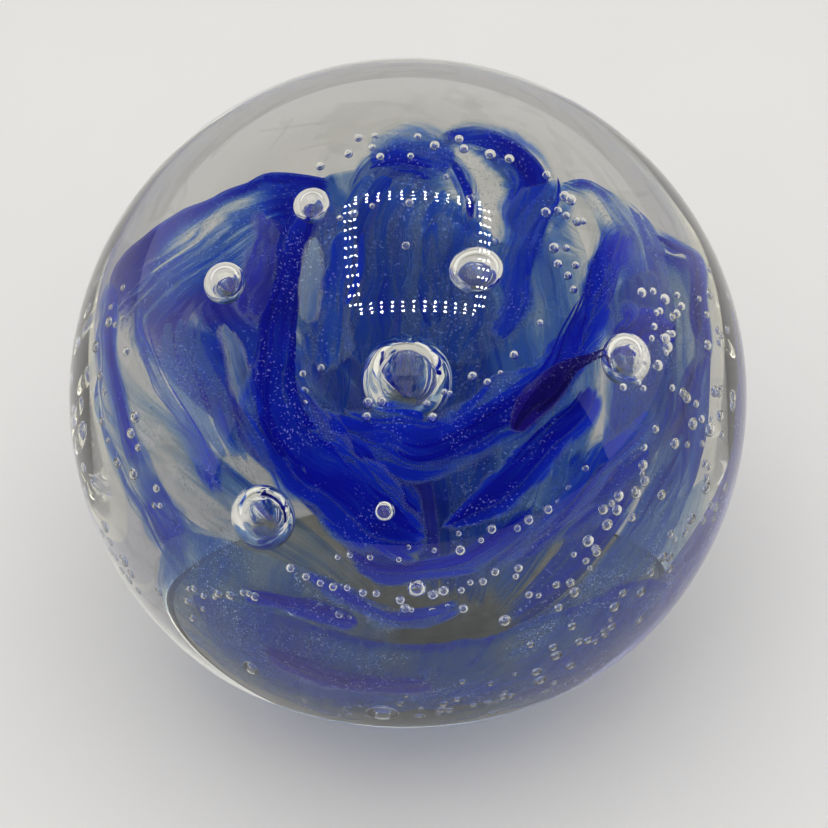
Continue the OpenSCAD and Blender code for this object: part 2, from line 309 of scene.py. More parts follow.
def gather_skin():
    """Where the inner glass meets the casing: all but invisible, with faint cords."""
    n = Nodes("gather_skin")
    solid = n.add("TexCoord").outputs["Object"]
    cords = n.noise(n.scaled(solid, 60.0, 60.0, 240.0), 3.0, 0.6, 1.5)
    line = n.grey(cords, 0.56, 0.60)
    tint = n.mix(line, (1, 1, 1, 1), (0.93, 0.935, 0.93, 1))
    return n.finish(n.add("BsdfTransparent", {"Color": tint}).outputs[0])


def paper(name, colour):
    """Matt paper with a faint mottle."""
    n = Nodes(name)
    solid = n.add("TexCoord").outputs["Object"]
    mottle = n.noise(n.scaled(solid, 25.0, 25.0, 25.0), 4.0)
    shade = n.mix(n.grey(mottle, 0.3, 0.7), tuple(c * 0.985 for c in colour) + (1,),
                  colour + (1,))
    board = n.add("BsdfPrincipled", {"Base Color": shade, "Roughness": 0.8})
    return n.finish(board.outputs[0])


def lamp(name, colour, strength):
    """A surface that gives off even light."""
    n = Nodes(name)
    return n.finish(n.add("Emission", {"Color": (*colour, 1), "Strength": strength}).outputs[0])


# ---------------------------------------------------------------- clear casing and bubbles
def ball_profile():
    """Half outline of the casing, from the middle of the foot up to the crown."""
    edge = 0.5 * MM                          # how far the foot's rounded edge reaches
    foot_steps, edge_steps, wall_steps, rows = 10, 6, 12, 110
    turn = Vector((BALL_R * math.cos(TUCK), -BALL_R * math.sin(TUCK)))
    foot = Vector((FOOT_R, -MIDDLE))
    wall = (turn - foot).normalized()
    points = [Vector((FOOT_R * i / foot_steps, -MIDDLE)) for i in range(foot_steps)]
    for i in range(edge_steps + 1):
        t = i / edge_steps
        start, end = foot - Vector((edge, 0)), foot + wall * edge
        points.append((1 - t) ** 2 * start + 2 * t * (1 - t) * foot + t * t * end)
    points += [foot + wall * edge + (turn - foot - wall * edge) * (i / wall_steps)
               for i in range(1, wall_steps)]
    for i in range(rows + 1):
        a = -TUCK + (math.pi / 2 + TUCK) * i / rows
        points.append(Vector((BALL_R * math.cos(a), BALL_R * math.sin(a))))
    return points


def add_casing(shape):
    """The outside of the casing, turned from its half outline."""
    around = 224
    rings = []
    for p in ball_profile():
        r, z = p.x / MM, p.y / MM
        if r < 1e-4:
            rings.append([shape.vert(Vector((0, 0, z)))])
        else:
            rings.append([shape.vert(place(360 * k / around, r, z)) for k in range(around)])
    foot, crown = rings[0][0], rings[-1][0]
    shape.skin(rings[1:-1])
    for k in range(around):
        m = (k + 1) % around
        shape.faces.append((foot, rings[1][m], rings[1][k]))
        shape.faces.append((crown, rings[-2][k], rings[-2][m]))


def add_ball(shape, centre, diameter, stretch=1.0, cells=12, hollow=True):
    """A ball of latitude rings; the faces of a hollow one, a bubble, look into its air."""
    r = diameter / 2
    rings = []
    for j in range(1, cells):
        lat = math.pi * j / cells - math.pi / 2
        ring_r = r * math.cos(lat)
        ring = [shape.vert(centre + Vector((ring_r * math.cos(2 * math.pi * k / (2 * cells)),
                                            ring_r * math.sin(2 * math.pi * k / (2 * cells)),
                                            r * stretch * math.sin(lat))))
                for k in range(2 * cells)]
        rings.append(ring[::-1] if hollow else ring)
    low = shape.vert(centre - Vector((0, 0, r * stretch)))
    high = shape.vert(centre + Vector((0, 0, r * stretch)))
    shape.skin(rings)
    for k in range(2 * cells):
        m = (k + 1) % (2 * cells)
        shape.faces.append((low, rings[0][m], rings[0][k]))
        shape.faces.append((high, rings[-1][k], rings[-1][m]))


# Large bubbles: azimuth, distance from the axis, height, diameter, stretch upwards.
LARGE_BUBBLES = [
    (0, 0, 2, 7.3, 1.0), (229, 20.5, 1.5, 6.0, 1.0), (344, 20.5, 9.5, 4.9, 1.0),
    (145, 9.5, 19.5, 3.4, 1.0), (176, 15.8, 14.5, 4.0, 0.9), (12, 6.5, 14, 4.8, 0.6),
    (263, 22.5, 8, 2.1, 1.0), (270, 26, 1, 1.8, 1.0), (262.5, 31.5, -14.3, 3.4, 1.0),
    (237, 31, -11, 1.7, 1.3), (293, 30.5, -12.5, 1.4, 1.0), (284, 30, -17, 1.1, 1.0),
]
# Strings and clouds of small bubbles: first and last [azimuth, radius, height], how many,
# how far they stray, and their diameters.
BUBBLE_STRINGS = [
    ([243, 26.3, 1.5], [262, 26.3, 0.2], 12, 0.3, (0.7, 1.0)),
    ([262, 26.3, 0], [296, 25.5, 1], 18, 0.6, (0.6, 1.1)),
    ([243, 26, -3], [280, 25.5, -2], 12, 0.9, (0.5, 1.1)),
    ([250, 24.5, 3], [318, 23, 6], 18, 1.2, (0.6, 1.1)),
    ([336, 22.5, 9], [366, 24, 10], 30, 2.2, (0.6, 1.2)),
    ([330, 29, -6], [372, 28, 8], 30, 3.0, (0.6, 1.3)),
    ([285, 31, -10], [340, 31, -3], 28, 3.0, (0.8, 1.4)),
    ([250, 31, -13], [300, 31.5, -14], 20, 2.0, (0.7, 1.3)),
    ([312, 27.5, 3], [345, 27, 6], 16, 2.5, (0.7, 1.3)),
    ([245, 30, -16], [312, 30, -9], 24, 2.6, (0.5, 1.2)),
    ([150, 28, -3], [185, 28, -9], 14, 1.5, (0.8, 1.3)),
    ([190, 27, -9], [205, 28, -12], 12, 1.0, (0.8, 1.4)),
    ([170, 27.5, 12], [214, 29, 1], 22, 2.5, (0.6, 1.3)),
    ([60, 16, 13], [118, 15, 14], 14, 2.0, (0.6, 1.0)),
    ([60, 12, 6], [110, 12, 12], 12, 3.0, (0.5, 1.0)),
    ([200, 12, 10], [330, 13, 13], 18, 2.5, (0.5, 1.0)),
    ([20, 14, 8], [50, 19, 9], 14, 2.0, (0.6, 1.1)),
    ([212, 27, -9], [236, 28, -2], 16, 1.8, (0.6, 1.2)),
    ([290, 27, -4], [325, 27, 4], 22, 2.5, (0.6, 1.3)),
]


DEEPEST_BUBBLE = 38.2                        # how far from the middle bubbles may lie
BUBBLE_GAP = 0.12                            # glass that stays between two bubbles
FOOT_GAP = 2                                 # glass that stays below the lowest bubble


def scatter_bubbles(shape):
    """The large bubbles, then the strings; a small one that would touch another is left out."""
    taken = []
    for azimuth, radius, height, diameter, stretch in LARGE_BUBBLES:
        spot = place(azimuth, radius, height)
        add_ball(shape, spot, diameter, stretch, 24)
        taken.append((spot, diameter * max(1.0, stretch)))
    for first, last, count, stray, (small, big) in BUBBLE_STRINGS:
        for i in range(count):
            t = (i + rng.random()) / count
            spot = place(*[a + (b - a) * t for a, b in zip(first, last)])
            spot += Vector([rng.gauss(0, stray * 0.5) for _ in range(3)])
            size = small + (big - small) * rng.random() ** 1.6
            clear = all((spot - other).length > (size + wide) / 2 + BUBBLE_GAP
                        for other, wide in taken)
            low = spot.z <= -MIDDLE / MM + FOOT_GAP
            if clear and spot.length < DEEPEST_BUBBLE and not low:
                add_ball(shape, spot, size, 1.0, 8)
                taken.append((spot, size))


# ---------------------------------------------------------------- coloured glass
def petal_point(rim, root, u, v):
    """A point of a petal: u runs along the rim, v from the root up to the rim."""
    azimuth, radius, height = spline(rim, u)
    lat = math.degrees(math.atan2(height, radius))
    far = math.hypot(radius, height)
    e = math.radians(-ROOT_LAT + (lat + ROOT_LAT) * v)
    r = root + (far - root) * v
    a = math.radians(azimuth - PETAL_TWIST * (1 - v) ** 1.5)
    return Vector((math.cos(a) * math.cos(e), math.sin(a) * math.cos(e), math.sin(e))) * r


def add_petal(shape, rim, root=24.0, rim_band=0.35, rim_width=2.0, soft=1.0, seed=0.0,
              crosswise=0.0, blobs=(), cols=72):
    """A curved sheet of glass from its root up to its rim, closed all round.

    The rim is a row of (azimuth, distance from the axis, height). The colour is denser along
    the rim by rim_band, and each blob is a place (u across, v upwards), its half width and
    height, and how much denser, or thinner where negative, the colour is there.
    """
    thick, wave, ruffle = 0.9, 0.5, 0.4
    rows = 56
    parts = 8                                # steps in which its length and width are measured
    length = sum((petal_point(rim, root, .5, (j + 1) / parts)
                  - petal_point(rim, root, .5, j / parts)).length for j in range(parts))
    width = sum((petal_point(rim, root, (j + 1) / parts, .9)
                 - petal_point(rim, root, j / parts, .9)).length for j in range(parts))

    def surface(u, v):
        p = petal_point(rim, root, u, v)
        inward = -p.normalized()
        roll = noise.noise(Vector((u * width * 0.14, v * length * 0.10, seed)))
        curl = noise.noise(Vector((u * width * 0.45, v * length * 0.16, seed + 9)))
        return p + inward * (wave * 1.6 * roll + wave * 0.6 * curl) * smooth(v, 0.05, 0.5)

    grids = []
    for side in (1, -1):
        grid = []
        for i in range(cols + 1):
            u = i / cols
            line = []
            for j in range(rows + 1):
                v = j / rows
                lift = 1 + 0.012 * ruffle * noise.noise(Vector((u * width * 0.5, seed, 4))) * v
                p = surface(u, v)
                du = surface(min(u + .01, 1), v) - surface(max(u - .01, 0), v)
                dv = surface(u, min(v + .01, 1)) - surface(u, max(v - .01, 0))
                normal = du.cross(dv).normalized()
                taper = math.sqrt(max(0.0, 1 - abs(2 * u - 1) ** 8)) * \
                    math.sqrt(max(0.0, 1 - v ** 14))
                swell = 0.75 + 0.5 * noise.noise(Vector((u * width * 0.3, v * 2, seed + 5)))
                q = p * lift + normal * side * thick / 2 * max(0.04, taper * swell)
                to_side = min(u, 1 - u) * width
                to_rim = (1 - v) * length
                fade = smooth(min(to_side / (2.2 * soft), to_rim / 0.25, v * length / 2.5), 0, 1)
                boost = rim_band * (1 - smooth(to_rim, rim_width * 0.3, rim_width)) \
                    + rim_band * 0.5 * (1 - smooth(to_side, 0.4, 2.0))
                for at_u, at_v, wide, tall, strength in blobs:
                    gap = ((u - at_u) / wide) ** 2 + ((v - at_v) / tall) ** 2
                    boost += strength * math.exp(-gap)
                turn = crosswise * smooth(v, 0.68, 0.85)
                line.append(shape.vert(q, (v * length, u * width, seed), (fade, boost, turn)))
            grid.append(line)
        grids.append(grid)
    top, bottom = grids
    for i in range(cols):
        for j in range(rows):
            shape.faces.append((top[i][j], top[i + 1][j], top[i + 1][j + 1], top[i][j + 1]))
            shape.faces.append((bottom[i][j], bottom[i][j + 1], bottom[i + 1][j + 1],
                                bottom[i + 1][j]))
        shape.faces.append((top[i][0], bottom[i][0], bottom[i + 1][0], top[i + 1][0]))
        shape.faces.append((top[i][rows], top[i + 1][rows], bottom[i + 1][rows],
                            bottom[i][rows]))
    for j in range(rows):
        shape.faces.append((top[0][j], top[0][j + 1], bottom[0][j + 1], bottom[0][j]))
        shape.faces.append((top[cols][j], bottom[cols][j], bottom[cols][j + 1],
                            top[cols][j + 1]))


def add_band(shape, route, thick, seed, shift=(0.0, 0.0), share=1.25, boost=0.0, soft=1.0,
             stray=0.0, start=0.0, end=1.0, margin=0.0, steps=72, sides=20):
    """A band of glass swept along a route of (azimuth, distance from the axis, height, width).

    share scales its width and margin is added to it. shift moves it across and up, and stray
    lets it wander, for strands beside a fold. It runs from start to end of the route.
    """
    droop = 0.12                             # how far its sides hang below its middle line
    rings = []
    length = 0.0
    before = None
    for i in range(steps + 1):
        t = i / steps
        along_route = start + (end - start) * t
        c = spline(route, along_route)
        p = place(*c[:3])
        length += (p - before).length if before is not None else 0.0
        before = p
        ahead = place(*spline(route, along_route + 0.02)[:3])
        behind = place(*spline(route, along_route - 0.02)[:3])
        along = (ahead - behind).normalized()
        across = along.cross((FOCUS - p).normalized()).normalized()
        up = across.cross(along)
        tip = math.sqrt(max(0.0, 1 - abs(2 * t - 1) ** 5))
        wobble = 1 + 0.45 * noise.noise(Vector((length * 0.30, seed, 1)))
        half = max(0.05, (c[3] / 2 * share + margin) * wobble * tip)
        rise = max(0.03, thick / 2 * tip * min(1.0, half / 0.6))
        drift = Vector((noise.noise(Vector((length * 0.18, seed, 2))),
                        noise.noise(Vector((length * 0.18, seed, 3))), 0)) * stray
        base = p + across * (shift[0] * c[3] / 2 + drift.x) + up * (shift[1] + drift.y)
        ring = []
        for k in range(sides):
            q = 2 * math.pi * k / sides
            s = half * math.cos(q)
            h = rise * math.sin(q) - droop * half * math.cos(q) ** 2
            fade = smooth((1 - abs(math.cos(q)) ** 3) / (0.75 * soft), 0, 1) \
                * smooth(min(t, 1 - t), 0, 0.10 * soft + 0.01)
            ring.append(shape.vert(base + across * s + up * h, (length, s, seed),
                                   (fade, boost, 0)))
        rings.append(ring)
    shape.skin(rings)
    shape.faces.append(tuple(reversed(rings[0])))
    shape.faces.append(tuple(rings[-1]))


# Petals: the rim's points, and where the colour is denser or thinner.
PETALS = {
    "left_outer_petal": dict(rim=[(147, 25, -1.5), (154, 24.5, -3), (162, 23.5, -4.5),
                                  (171, 22, -7), (182, 20, -9.5), (195, 18, -14)], seed=1.3,
                             rim_band=0.9, rim_width=1.8,
                             blobs=[(.15, .42, .3, .12, .45), (.55, .52, .16, .10, .6),
                                    (.85, .8, .12, .2, .4)]),
    "left_petal": dict(rim=[(105, 17.5, 5.5), (113, 20, 4), (122, 21.5, 3), (130, 23.5, 1),
                            (138, 24.5, -0.5), (144, 25, -2)], seed=2.7, rim_band=0.45,
                       rim_width=3.0, crosswise=1.0,
                       blobs=[(.38, .65, .11, .13, -.45), (.2, .77, .07, .17, .45),
                              (.44, .90, .20, .03, -.8), (.92, .75, .05, .1, -.7),
                              (.7, .54, .12, .17, .15),
                              (.88, .36, .22, .16, .45), (.95, .55, .08, .1, .3)]),
    "back_petal": dict(rim=[(58, 20.5, 3), (65, 21.5, 3.5), (73, 21, 4.5), (81, 20.5, 5),
                            (89, 20, 5), (97, 19, 4.5), (102, 17, 3.5)], seed=3.9,
                       rim_band=0.45, crosswise=0.6,
                       blobs=[(.44, .79, .10, .17, -1.3), (.72, .83, .12, .1, .55),
                              (.3, .88, .05, .13, .7), (.22, .78, .04, .1, -.6),
                              (.07, .77, .06, .12, -.4), (.28, .58, .08, .12, .15),
                              (.62, .46, .2, .17, .25)]),
    "back_right_petal": dict(rim=[(41, 23.5, 0), (45, 23.5, 1), (49, 23, 2.5), (53, 22, 3.5),
                                  (56, 20, 4)], seed=4.4,
                             blobs=[(.78, .88, .22, .11, -.65), (.85, .67, .2, .12, -.25)]),
    "right_petal": dict(rim=[(0, 21.5, -4), (15, 22.5, -4.5), (26, 23.5, -4), (33, 24, -2.5),
                             (35, 24, -1), (38, 22.5, 1)], seed=5.2,
                        blobs=[(.92, .88, .12, .13, -.4), (.78, .75, .1, .12, -.3),
                               (.22, .78, .18, .18, .35)]),
    "right_outer_petal": dict(rim=[(-3, 20.5, -16.5), (8, 22.5, -13.5), (17, 24.5, -11),
                                   (24, 25.5, -7.5), (32, 26, -6)], seed=6.8, root=26.0),
    "front_bowl": dict(rim=[(207, 20.5, -12), (225, 23, -8), (244, 24.5, -6), (260, 25, -6.5),
                            (275, 24.5, -7), (288, 24.5, -7), (303, 24, -7.5),
                            (319, 24, -8.5), (340, 21.5, -15)], seed=7.1, cols=120,
                       blobs=[(.22, .85, .1, .13, .3), (.78, .88, .12, .17, -.25),
                              (.95, .67, .1, .33, .2)]),
}
# Slot, palette and the manner of the streaks of each petal.
PETAL_PAINT = {
    "left_outer_petal": ("steel_blue_glass", "steel",
                         dict(cover=(.44, .72), scatter=.25, windows=.5)),
    "left_petal": ("royal_blue_glass", "royal",
                   dict(cover=(.34, .68), accent="violet", haze=.30, windows=.45)),
    "back_petal": ("steel_blue_glass", "steel", dict(cover=(.39, .72), haze=.24, windows=.35)),
    "back_right_petal": ("royal_blue_glass", "royal", dict(cover=(.36, .62), haze=.2,
                                                           windows=.5)),
    "right_petal": ("steel_blue_glass", "steel", dict(cover=(.38, .66), haze=.30,
                                                      windows=.5)),
    "right_outer_petal": ("violet_glass", "violet", dict(cover=(.34, .66), haze=.38,
                                                         speckle=.6)),
    "front_bowl": ("steel_blue_glass", "steel", dict(cover=(.36, .74), haze=.30,
                                                     scatter=.45, speckle=.9)),
}

# Bands: route of [azimuth, distance from the axis, height, width], thickness, palette, slot,
# cover, and how many thin strands run beside it.
BANDS = {
    "left_lobe": ([[152, 19, 5, 6], [162, 19, 2, 6], [180, 17, 0, 7], [203, 17, -1, 7],
                   [213, 17, -5, 5]], 1.6, "royal", "royal_blue_glass", (.50, .88), 5),
    "back_lobe": ([[78, 15, 8, 8], [82, 11, 7, 12], [85, 9, 0, 12], [86, 7, -5, 9]],
                  1.6, "steel", "steel_blue_glass", (.40, .66), 6),
    "right_lobe": ([[30, 20.5, 2, 5], [22, 20, 0, 6], [10, 19, -3, 6], [-16, 19, -2, 7],
                    [-34, 18.5, -3, 5]], 1.6, "steel", "steel_blue_glass", (.40, .66), 4),
    "violet_fold": ([[130, 15, 8, 3], [150, 12, 10, 4], [180, 12, 9.5, 4]],
                    1.6, "violet", "violet_glass", (.34, .6), 3),
    "dark_tongue": ([[120, 13, 13, 1], [145, 11, 14.5, 2.5], [177, 10, 15, 2.5],
                     [207, 13, 14, 3.5], [221, 16, 12, 4.5], [237, 18.5, 10, 5.5],
                     [252, 20, 8, 5.5], [265, 21.5, 5, 4.5], [274, 22, 3, 1.5]],
                    2.2, "cobalt", "cobalt_glass", (.27, .56), 5),
    "inner_cup_fold": ([[225, 12.5, 8, 1], [243, 12.5, 8.5, 1.5], [261, 13, 8.5, 2.5],
                        [274, 14, 8, 4], [288, 14, 8.5, 3], [305, 14, 9.5, 3.5],
                        [327, 15, 10, 3], [352, 15, 9, 2.5], [381, 17, 5.5, 2],
                        [395, 20, 4, 2], [398, 22, 3, 1]],
                       2.2, "cobalt", "cobalt_glass", (.29, .60), 5),
    "back_right_fold": ([[52, 19.5, 7, 1], [50, 18, 7, 2], [48, 15, 6.5, 2.5],
                         [45, 13, 4.5, 2.5], [39, 11, 2, 2], [37, 8.5, 0, 1]],
                        1.6, "royal", "cobalt_glass", (.34, .66), 3),
    "purple_stroke": ([[-17, 18.5, 10.5, 1], [-30, 17, 12, 2], [-43, 17, 12, 2.5],
                       [-53, 17.5, 11.5, 2], [-58, 18, 10.5, 1]],
                      1.6, "purple", "purple_glass", (.25, .5), 2),
    "right_front_fold": ([[-29, 19.5, 11, 1], [-37, 20, 10, 2], [-48, 20, 9.5, 2.5],
                          [-58, 20.5, 8.5, 2.5], [-68, 21, 7, 2.5], [-76, 21, 5.5, 1.5],
                          [-84, 21.5, 4.5, .8]], 1.6, "cobalt", "cobalt_glass", (.28, .54), 4),
    "lower_right_fold": ([[-17, 23.5, 5.5, 1], [-29, 23.5, 6, 3], [-41, 23, 6.5, 4],
                          [-50, 23.5, 5.5, 4], [-58, 23.5, 3.5, 2.5], [-67, 24, 2, 1.2],
                          [-76, 24.5, -.5, 1]], 1.6, "royal", "royal_blue_glass",
                         (.36, .68), 6),
    "inner_veil": ([[-58, 21.5, 4, 1], [-66, 22, 3, 1], [-78, 23, 1.5, 1], [-89, 23, 1, 1],
                    [-99, 23, 1, 1], [-107, 22.5, 3, .8]], 1.1, "royal",
                   "royal_blue_glass", (.3, .56), 3),
    "outer_veil": ([[-80, 25.5, -2, 1], [-88, 25.5, -3, 1.2], [-97, 25.5, -3, 1.2],
                    [-105, 25.5, -1, 1], [-116, 25.5, 1.5, .8]], 1.1, "royal",
                   "royal_blue_glass", (.32, .58), 2),
    "cobalt_cap": ([[98, 16, 10, 1], [91, 16, 10.5, 2.5], [83, 16, 10.5, 3.5],
                    [74, 16, 9.5, 2]], 1.6, "cobalt", "cobalt_glass", (.34, .66), 3),
    "right_crest": ([[-10, 19, 10, 1], [-3, 19.5, 8.5, 2], [4, 21, 5.5, 2],
                     [10, 22, 2.5, .8]], 1.6, "cobalt", "cobalt_glass", (.3, .56), 3),
    "steel_streak": ([[118, 9, 12, 1.5], [146, 6.5, 11.5, 2.5], [189, 6.5, 10.5, 2.5],
                      [220, 8.5, 9, 1]], 1.6, "steel", "steel_blue_glass", (.36, .6), 4),
    "white_strip": ([[185, 16, 12, .8], [196, 16, 12, 1.2], [207, 16.5, 10.5, 1.5],
                     [216, 17, 9, .8]], 1.1, "white", "white_glass", (.3, .6), 2),
    "white_ribbon": ([[160, 8, 18.5, .8], [187, 8, 18, 1.2], [207, 9.5, 17.5, 1.2],
                      [216, 11, 17, .8]], 1.1, "white", "white_glass", (.3, .6), 2),
    "lower_streak": ([[231, 25.5, -4, .8], [241, 26, -3, 1.5], [250, 26, -3, 1.5],
                      [258, 26, -4, .8]], 1.1, "cobalt", "cobalt_glass", (.28, .54), 3),
    "lower_violet_fold": ([[234, 24, -11, 1.2], [243, 24, -12, 2.2], [253, 23.5, -13, 2.2],
                           [265, 23, -13.5, 1.5], [274, 22.5, -14, .8]], 1.1, "violet",
                          "violet_glass", (.32, .58), 3),
    "left_inner_fold": ([[155, 22.5, 3.5, .8], [170, 22.5, 5.5, .8], [181, 22, 6, 1],
                         [196, 22, 7, 1.2], [211, 22, 6, 1.5], [222, 23, 3, 1]], 1.1,
                        "cobalt", "cobalt_glass", (.36, .66), 2),
}


# Share of its width that a fold shows: as a rule, and where it differs.
USUAL_SHARE = 1.2
SLIM = {"dark_tongue": 1.0, "purple_stroke": 0.55, "lower_right_fold": 0.75,
        "right_front_fold": 0.9}
# How far the veil reaches past its fold in mm, and where along the fold it begins: as a
# rule, and where they differ.
USUAL_REACH = (1.2, 0.0)
VEIL_REACH = {"dark_tongue": (1.7, 0.38), "inner_cup_fold": (1.7, 0.0),
              "purple_stroke": (0.5, 0.2), "lower_right_fold": (0.7, 0.0),
              "right_front_fold": (0.9, 0.0), "white_strip": (0.5, 0.0),
              "white_ribbon": (0.5, 0.0), "back_lobe": (2.5, 0.0)}

# Side arms of the folds above, which leave them and run on their own.
SIDE_ROUTES = {
    "cobalt_cap": [[[81, 18.5, 8.5, .8], [72, 19.5, 8.5, 1.5], [63, 19.5, 7.5, 2.2],
                    [57, 18.5, 6.5, 2.4], [54, 16, 6, 2], [53, 14.5, 4.5, .5]],
                   [[78, 17, 9.5, .3], [73, 16, 8.5, .6], [69, 15, 6.5, .7],
                    [68, 13, 5.5, .6], [75, 11.5, 5, .3]]],
    "back_lobe": [[[90, 15, 2, 6], [90, 13, -6, 9], [93, 11, -12, 10], [98, 8, -17, 7]]],
    "dark_tongue": [[[200, 13, 13, 1.5], [216, 14.5, 11.5, 4], [232, 15.8, 9.6, 5.5],
                     [246, 16.8, 8, 6], [257, 17.8, 6, 6], [266, 18.8, 3.5, 4.5],
                     [273, 19.8, 0.8, 2]]],
    "lower_right_fold": [[[340, 23, 1.5, 1], [329, 22.5, 2, 3], [318, 22, 1.6, 4],
                          [308, 21.5, 0.8, 3.5], [298, 21.5, 0, 2.5], [288, 21.5, -1, 1]]],
    "left_inner_fold": [[[142, 25, -3, .5], [145, 24.5, -4, .5], [151, 23.5, -5.5, .5],
                         [157, 22, -7.5, .5], [165, 20.5, -9.5, 1], [171, 18.5, -12, 1.5],
                         [178, 17, -14, 2], [184, 16, -16, .5]]],
    "right_crest": [[[39, 23, 1, .5], [34, 24, .5, .5], [33, 25, -1.5, .5], [28, 23.5, -4.5, .5],
                     [23, 23, -6, .5], [19, 21.5, -7, .5], [12, 20, -8.5, .5],
                     [8, 17.5, -9.5, .5]]],
}


# Low wings of haze, which close the sides and the back of the flower near its base.
WINGS = {
    "front_bowl": [dict(rim=[(198, 22, -11), (209, 24.2, -4), (221, 25, 0.2), (234, 25, 1.7),
                             (247, 25, 1.5), (258, 25, -0.5), (268, 25, -4)], seed=8.3, root=25.5,
                        rim_band=0.0, soft=2.2, cols=60, blobs=[(.5, .6, 3, 3, -.15)]),
                   dict(rim=[(304, 25, -6), (312, 25, -3.5), (320, 24.8, -2.5), (331, 24.5, -4),
                             (345, 24.2, -6), (358, 23.5, -8)], seed=9.6, root=25.5,
                        rim_band=0.0, soft=2.2, cols=60, blobs=[(.4, .6, 3, 3, -.22)])],
    "back_petal": [dict(rim=[(78, 22.5, -8), (88, 22.8, -4), (98, 22.8, -2), (108, 22.8, -4),
                             (118, 22.5, -8)], seed=10.4, root=25.2, rim_band=0.0, soft=2.2,
                        cols=48, blobs=[(.55, .35, .5, .5, .35)])],
}


def hand_over(thing, node):
    """Ties a mesh to the CAD node that it stands for."""
    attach(thing, "root")
    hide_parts(node)
    return thing


# ---------------------------------------------------------------- build the object
glass = Shape()
add_casing(glass)
scatter_bubbles(glass)
casing = glass.object("casing", [clear_glass(), foot_painted_shade()])
for face in casing.data.polygons:
    if face.center.z < 0.01 * MM:            # the ground face that it stands on
        face.use_smooth = False
        # the foot face takes the material with the painted shade
        face.material_index = 1
hand_over(casing, "outer_casing")

gather = Shape()
add_ball(gather, Vector((0, 0, 0)), 2 * GATHER_R, cells=72, hollow=False)
hand_over(gather.object("gather", [gather_skin()]), "inner_gather")

for node, petal in PETALS.items():
    slot, palette, paint = PETAL_PAINT[node]
    sheet = Shape()
    add_petal(sheet, **petal)
    for wing in WINGS.get(node, ()):
        add_petal(sheet, **wing)
    hand_over(sheet.object(node + "_sheet", [streaked(node + "_paint", palette, **paint)]),
              node)

for number, (node, (route, thick, palette, slot, cover, strands)) in enumerate(BANDS.items()):
    band = Shape()
    own_seed = number * 3.7
    add_band(band, route, thick, seed=own_seed, soft=1.3, share=SLIM.get(node, USUAL_SHARE))
    # The colour is drawn out past both edges of the fold in a thin ragged veil.
    reach, begin = VEIL_REACH.get(node, USUAL_REACH)
    add_band(band, route, 0.35, seed=own_seed + 50, margin=reach, boost=-0.25, soft=1.6,
             start=begin)
    for arm in SIDE_ROUTES.get(node, ()):
        add_band(band, arm, 0.8, seed=own_seed + 60, boost=0.2, soft=1.3)
        add_band(band, arm, 0.3, seed=own_seed + 70, margin=0.7, boost=-0.25, soft=1.6)
    for i in range(strands):
        across = rng.uniform(-1.1, 1.1)
        begin = rng.uniform(0.0, 0.3)
        add_band(band, route, 0.5, seed=own_seed + i + 20, share=rng.uniform(.10, .25),
                 shift=(across, rng.uniform(-.6, .9) * thick), stray=0.5, soft=0.6,
                 start=begin, end=begin + rng.uniform(0.45, 0.7), boost=0.25,
                 steps=48, sides=10)
    hand_over(band.object(node + "_band", [streaked(node + "_paint", palette, cover)]),
              node)


# ---------------------------------------------------------------- stage: floor, light, camera
def stage_mesh(name, verts, faces, material):
    """A mesh of the stage, in metres, which isn't part of the object."""
    mesh = bpy.data.meshes.new(name)
    mesh.from_pydata(verts, [], faces)
    mesh.materials.append(material)
    thing = bpy.data.objects.new(name, mesh)
    bpy.context.scene.collection.objects.link(thing)
    return thing


FLOOR_HALF = 3.0
FLOOR_DROP = 5e-5                            # keeps the floor's face clear of the foot
FLOOR_COLOUR = (0.80, 0.79, 0.775)

# A square of small lamps above the ball, as round the top hole of a folding photo box.
LAMP_CENTRE = Vector((0.024, 0.012, 0.30))
LAMP_TURN = math.radians(-1.5)
LAMP_SIDE = 0.182
LAMPS_PER_SIDE = 12
LAMP_ROW_GAP = 0.007
LAMP_DOT = 0.0030
LAMP_STRENGTH = 90.0


def add_floor():
    stage_mesh("floor", [(-FLOOR_HALF, -FLOOR_HALF, -FLOOR_DROP),
                         (FLOOR_HALF, -FLOOR_HALF, -FLOOR_DROP),
                         (FLOOR_HALF, FLOOR_HALF, -FLOOR_DROP),
                         (-FLOOR_HALF, FLOOR_HALF, -FLOOR_DROP)], [(0, 1, 2, 3)],
               paper("floor_paper", FLOOR_COLOUR))


def add_lamp_ring():
    """Three rows of dots along each side, seen only as their mirror image on the glass."""
    verts, faces = [], []
    for side in range(4):
        turn = Matrix.Rotation(LAMP_TURN + side * math.pi / 2, 3, "Z")
        for i in range(LAMPS_PER_SIDE):
            for row in (-1, 0, 1):
                x = LAMP_SIDE * ((i + 0.5) / LAMPS_PER_SIDE - 0.5)
                y = LAMP_SIDE / 2 + row * LAMP_ROW_GAP
                start = len(verts)
                for dx, dy in ((-1, -1), (-1, 1), (1, 1), (1, -1)):
                    corner = Vector((x + dx * LAMP_DOT / 2, y + dy * LAMP_DOT / 2, 0))
                    verts.append(LAMP_CENTRE + turn @ corner)
                faces.append((start, start + 1, start + 2, start + 3))
    ring = stage_mesh("lamp_ring", verts, faces,
                      lamp("lamp_dots", (1.0, 0.98, 0.95), LAMP_STRENGTH))
    ring.visible_diffuse = False
    ring.visible_transmission = False
    ring.visible_shadow = False


def add_soft_panel(name, half, height, strength):
    """A lit square that faces down. Polished glass doesn't mirror it."""
    panel = stage_mesh(name, [(-half, -half, height), (-half, half, height),
                              (half, half, height), (half, -half, height)], [(0, 1, 2, 3)],
                       lamp(name + "_light", (1.0, 0.995, 0.985), strength))
    panel.visible_glossy = False
    panel.visible_camera = False


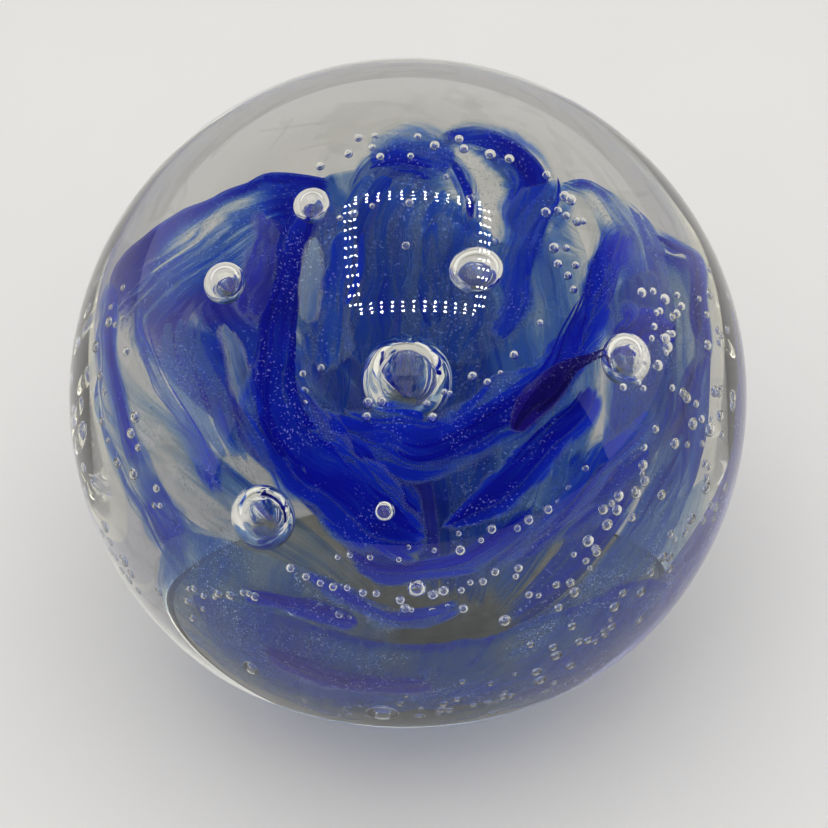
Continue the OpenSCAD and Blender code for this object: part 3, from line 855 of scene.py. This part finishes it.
def add_camera_side():
    """The side behind the camera is dark, but only in the ball's reflections."""
    half_width, away, top = 2.0, 1.0, 2.4
    board = stage_mesh("camera_side", [(-half_width, -away, 0.0), (half_width, -away, 0.0),
                                       (half_width, -away, top), (-half_width, -away, top)],
                       [(0, 1, 2, 3)], lamp("camera_side_shade", (0.9, 0.95, 1.0), 0.07))
    board.visible_camera = False
    board.visible_diffuse = False
    board.visible_transmission = False
    board.visible_shadow = False


def add_world():
    """White walls low down, all round, and a dark ceiling."""
    world = bpy.data.worlds.new("photo_box")
    bpy.context.scene.world = world
    world.use_nodes = True
    tree = world.node_tree
    background = tree.nodes["Background"]
    direction = tree.nodes.new("ShaderNodeTexCoord")
    split = tree.nodes.new("ShaderNodeSeparateXYZ")
    tree.links.new(direction.outputs["Generated"], split.inputs[0])
    shade = tree.nodes.new("ShaderNodeValToRGB")
    tree.links.new(split.outputs["Z"], shade.inputs[0])
    walls, ceiling = shade.color_ramp.elements
    walls.position, walls.color = 0.20, (1.0, 0.995, 0.98, 1)
    ceiling.position, ceiling.color = 0.46, (0.11, 0.11, 0.11, 1)
    tree.links.new(shade.outputs[0], background.inputs[0])
    background.inputs[1].default_value = 1.0


# The camera looks down at the ball from in front, slightly rolled.
VIEW_UP = math.radians(46.5)
ROLL = math.radians(-2.6)
DISTANCE = 8.75 * BALL_R
BALL_SHARE = 0.8188                          # the ball's half width in half the frame
SENSOR = 36


def add_camera():
    """The camera, aimed at the ball's middle and shifted a little within its frame."""
    backwards = Vector((0, -math.cos(VIEW_UP), math.sin(VIEW_UP)))
    half_angle = math.asin(BALL_R / DISTANCE)
    data = bpy.data.cameras.new("camera")
    data.sensor_width = SENSOR
    data.lens = SENSOR / 2 / (math.tan(half_angle) / BALL_SHARE)
    data.shift_x = 0.0072
    data.shift_y = -0.021
    data.clip_start = 0.001
    camera = bpy.data.objects.new("camera", data)
    camera.location = CENTRE + backwards * DISTANCE
    camera.rotation_mode = "QUATERNION"
    camera.rotation_quaternion = \
        (-backwards).to_track_quat("-Z", "Y") @ Quaternion((0, 0, 1), ROLL)
    bpy.context.scene.collection.objects.link(camera)
    return camera


add_floor()
add_lamp_ring()
# One panel hangs near over the ball, and one, wide and high, lights the whole floor.
add_soft_panel("near_panel", 0.26, 0.42, 1.80)
add_soft_panel("wide_panel", 3.0, 1.5, 0.64)
add_camera_side()
add_world()

scene = bpy.context.scene
scene.camera = add_camera()
scene.view_settings.view_transform = "Standard"
scene.cycles.max_bounces = 24
scene.cycles.transmission_bounces = 24
scene.cycles.transparent_max_bounces = 64
scene.cycles.use_denoising = True
